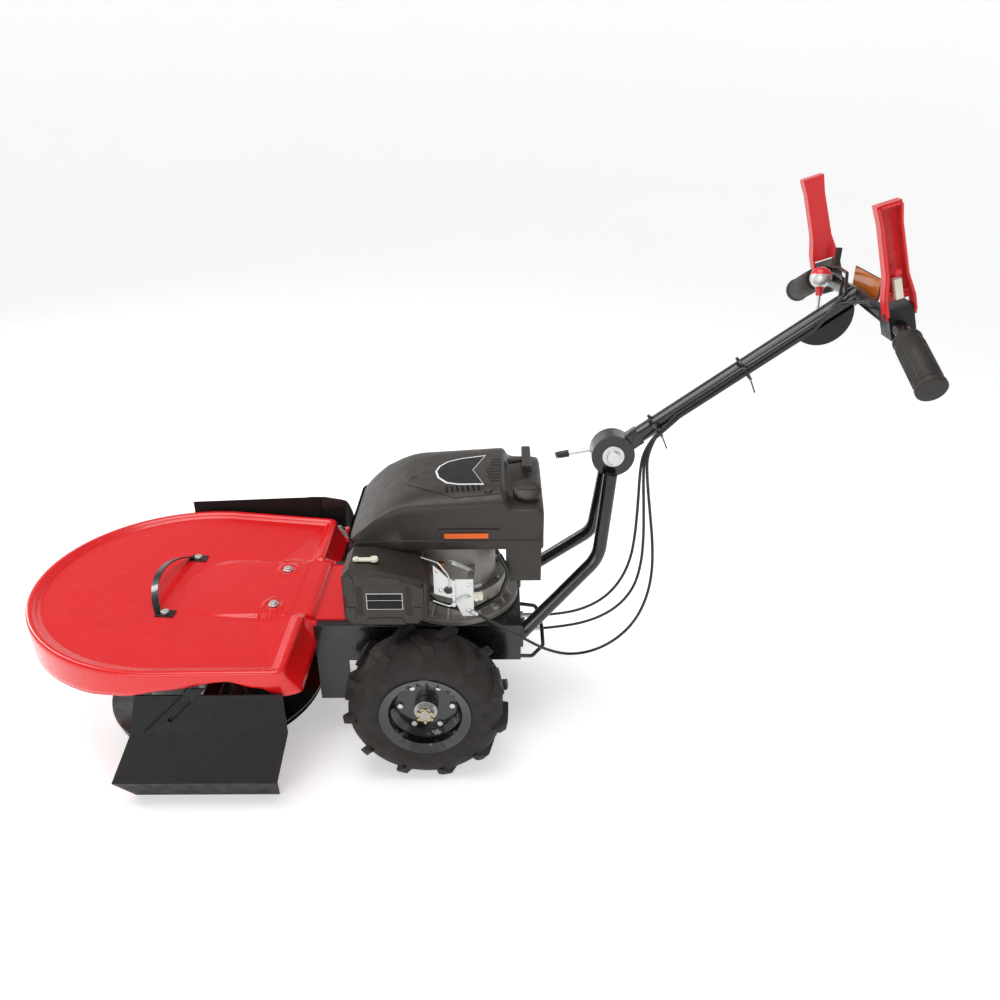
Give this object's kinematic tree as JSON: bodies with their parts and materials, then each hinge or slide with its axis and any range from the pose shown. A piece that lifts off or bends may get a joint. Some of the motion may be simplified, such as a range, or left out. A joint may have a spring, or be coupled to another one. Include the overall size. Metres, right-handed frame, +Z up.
{
  "type": "brush mower",
  "caption": "Walk-behind brush mower with a round front cutting deck, side boards, two lugged drive wheels, a vertical-shaft engine and a folding T handlebar.",
  "frame": {"origin": "on the ground under the middle of the machine's outline", "axes": "+X to the handlebar, +Y to the machine's far (right) side, +Z up"},
  "size_m": [1.6894, 0.6874, 1.1236],
  "materials": {
    "black_enamel": "glossy black enamel over sheet steel and tube",
    "black_rim": "high-gloss black paint",
    "red_enamel": "glossy red enamel over pressed steel",
    "red_plastic": "satin moulded plastic",
    "black_plastic": "fine-grained black moulding",
    "cream_plastic": "smooth cream moulding",
    "cast_alloy": "as-cast, slightly rough",
    "zinc": "bright zinc plating",
    "bare_steel": "ground steel",
    "tyre_rubber": "dull tyre rubber",
    "grip_rubber": "soft ribbed rubber",
    "belt_rubber": "fabric-faced rubber",
    "cable_sheath": "smooth black sheath",
    "curtain_sheet": "creased flexible black sheet",
    "muffler_steel": "heat-dulled steel"
  },
  "bodies": {
    "frame": {"chassis_frame": "black_enamel", "deck_arm": "black_enamel", "deck_cover": "red_enamel", "carry_handle": "black_enamel", "frame_fasteners": "zinc", "spindle_housing": "black_enamel", "bearings": "bare_steel", "left_board": "black_enamel", "right_board": "black_enamel", "grass_curtain": "curtain_sheet", "gearbox_housing": "black_enamel", "drum_belt": "belt_rubber", "drive_belt": "belt_rubber", "crankcase": "cast_alloy", "cylinder_head": "cast_alloy", "spark_plug": "red_plastic", "muffler": "muffler_steel", "engine_shroud": "black_plastic", "fuel_tank": "black_plastic", "air_filter_cover": "black_plastic", "carburettor": "cast_alloy", "control_bracket": "zinc", "left_fork_tube": "black_enamel", "right_fork_tube": "black_enamel", "rear_guard_rod": "black_enamel", "blade_cable": "cable_sheath", "drive_cable": "cable_sheath", "throttle_cable": "cable_sheath"},
    "drive_axle": {"axle_shaft": "bare_steel", "worm_wheel": "bare_steel", "left_rim": "black_rim", "right_rim": "black_rim", "left_tyre": "tyre_rubber", "right_tyre": "tyre_rubber", "wheel_fasteners": "zinc"},
    "worm": {"worm_shaft": "bare_steel"},
    "drum": {"drum_spindle": "bare_steel", "cutter_drum": "black_enamel"},
    "skid": {"skid_dish": "black_enamel"},
    "knife_a": {"knife_1": "bare_steel"},
    "knife_b": {"knife_2": "bare_steel"},
    "crank": {"crankshaft": "bare_steel", "engine_pulley": "bare_steel"},
    "starter": {"starter_grip": "black_plastic"},
    "cap": {"fuel_cap": "black_plastic"},
    "choke": {"choke_lever": "cream_plastic"},
    "handlebar": {"handlebar_tube": "black_enamel", "handle_grips": "grip_rubber", "lever_clamps": "black_plastic", "shift_housing": "black_plastic", "cable_runs": "cable_sheath"},
    "clamp": {"clamp_lever": "zinc"},
    "shifter": {"shift_lever": "red_plastic"},
    "drive_hand_lever": {"drive_lever": "red_plastic"},
    "blade_hand_lever": {"blade_lever": "red_plastic"},
    "drive_lock": {"drive_latch": "cream_plastic"},
    "blade_lock": {"blade_latch": "cream_plastic"},
    "throttle": {"throttle_lever": "black_plastic"},
    "blade_tensioner": {"blade_idler": "bare_steel"},
    "drive_tensioner": {"drive_idler": "bare_steel"}
  },
  "joints": [
    {"name": "axle_spin", "type": "hinge", "parent": "frame", "child": "drive_axle", "pos_m": [0, 0, 0.165], "axis": [0, 1, 0], "continuous": true},
    {"name": "worm_spin", "type": "hinge", "parent": "frame", "child": "worm", "pos_m": [-0.05, 0, 0.165], "axis": [0, 0, 1], "continuous": true},
    {"name": "drum_spin", "type": "hinge", "parent": "frame", "child": "drum", "pos_m": [-0.495, 0, 0.1], "axis": [0, 0, 1], "continuous": true},
    {"name": "skid_spin", "type": "hinge", "parent": "drum", "child": "skid", "pos_m": [-0.495, 0, 0.03], "axis": [0, 0, 1], "continuous": true},
    {"name": "knife_1_swing", "type": "hinge", "parent": "drum", "child": "knife_a", "pos_m": [-0.495, 0.222, 0.0475], "axis": [0, 0, 1], "range_deg": [-70, 70]},
    {"name": "knife_2_swing", "type": "hinge", "parent": "drum", "child": "knife_b", "pos_m": [-0.495, -0.222, 0.0475], "axis": [0, 0, 1], "range_deg": [-70, 70]},
    {"name": "crank_spin", "type": "hinge", "parent": "frame", "child": "crank", "pos_m": [0.055, 0, 0.3], "axis": [0, 0, 1], "continuous": true},
    {"name": "starter_pull", "type": "slide", "parent": "frame", "child": "starter", "axis": [0.9487, 0.3162, 0], "range_m": [0, 0.45], "stiffness_N_per_m": 25, "springref_m": -0.25},
    {"name": "fuel_cap_turn", "type": "hinge", "parent": "frame", "child": "cap", "pos_m": [0.203, -0.076, 0.56], "axis": [0, -0.3419, 0.9397], "continuous": true},
    {"name": "choke_swing", "type": "hinge", "parent": "frame", "child": "choke", "pos_m": [-0.088, -0.192, 0.48], "axis": [0, 0, 1], "range_deg": [-10, 50]},
    {"name": "handlebar_tilt", "type": "hinge", "parent": "frame", "child": "handlebar", "pos_m": [0.376, 0, 0.617], "axis": [0, 1, 0], "range_deg": [-20, 15], "deforming": ["blade_cable", "drive_cable", "throttle_cable"]},
    {"name": "clamp_swing", "type": "hinge", "parent": "frame", "child": "clamp", "pos_m": [0.376, 0, 0.617], "axis": [0, 1, 0], "range_deg": [0, 80]},
    {"name": "shift_swing", "type": "hinge", "parent": "handlebar", "child": "shifter", "pos_m": [0.75607, 0.034, 0.86282], "axis": [0, 1, 0], "range_deg": [-20, 3]},
    {"name": "drive_lever_squeeze", "type": "hinge", "parent": "handlebar", "child": "drive_hand_lever", "pos_m": [0.812, -0.18, 0.944], "axis": [0.9537, 0, 0.3007], "range_deg": [0, 86], "stiffness_Nm_per_rad": 0.6, "springref_deg": -28.65},
    {"name": "blade_lever_squeeze", "type": "hinge", "parent": "handlebar", "child": "blade_hand_lever", "pos_m": [0.812, 0.18, 0.944], "axis": [-0.9537, 0, -0.3007], "range_deg": [0, 86], "stiffness_Nm_per_rad": 0.6, "springref_deg": -28.65},
    {"name": "drive_latch_press", "type": "hinge", "parent": "drive_hand_lever", "child": "drive_lock", "pos_m": [0.80117, -0.18, 0.97833], "axis": [-0.9537, 0, -0.3007], "range_deg": [0, 10], "stiffness_Nm_per_rad": 0.05, "springref_deg": -17.19},
    {"name": "blade_latch_press", "type": "hinge", "parent": "blade_hand_lever", "child": "blade_lock", "pos_m": [0.80117, 0.18, 0.97833], "axis": [0.9537, 0, 0.3007], "range_deg": [0, 10], "stiffness_Nm_per_rad": 0.05, "springref_deg": -17.19},
    {"name": "throttle_swing", "type": "hinge", "parent": "handlebar", "child": "throttle", "pos_m": [0.82, 0.142, 0.95], "axis": [0, 1, 0], "range_deg": [-25, 35]},
    {"name": "blade_idler_swing", "type": "hinge", "parent": "frame", "child": "blade_tensioner", "pos_m": [-0.165, 0.1, 0.25], "axis": [0, 0, 1], "range_deg": [0, 15], "deforming": ["drum_belt"]},
    {"name": "drive_idler_swing", "type": "hinge", "parent": "frame", "child": "drive_tensioner", "pos_m": [0.05, -0.1, 0.24], "axis": [0, 0, -1], "range_deg": [0, 15], "deforming": ["drive_belt"]}
  ],
  "couplings": [
    {"joint": "worm_spin", "follows": "axle_spin", "ratio": 20},
    {"joint": "blade_idler_swing", "follows": "blade_lever_squeeze", "ratio": 0.17},
    {"joint": "drive_idler_swing", "follows": "drive_lever_squeeze", "ratio": 0.17}
  ]
}
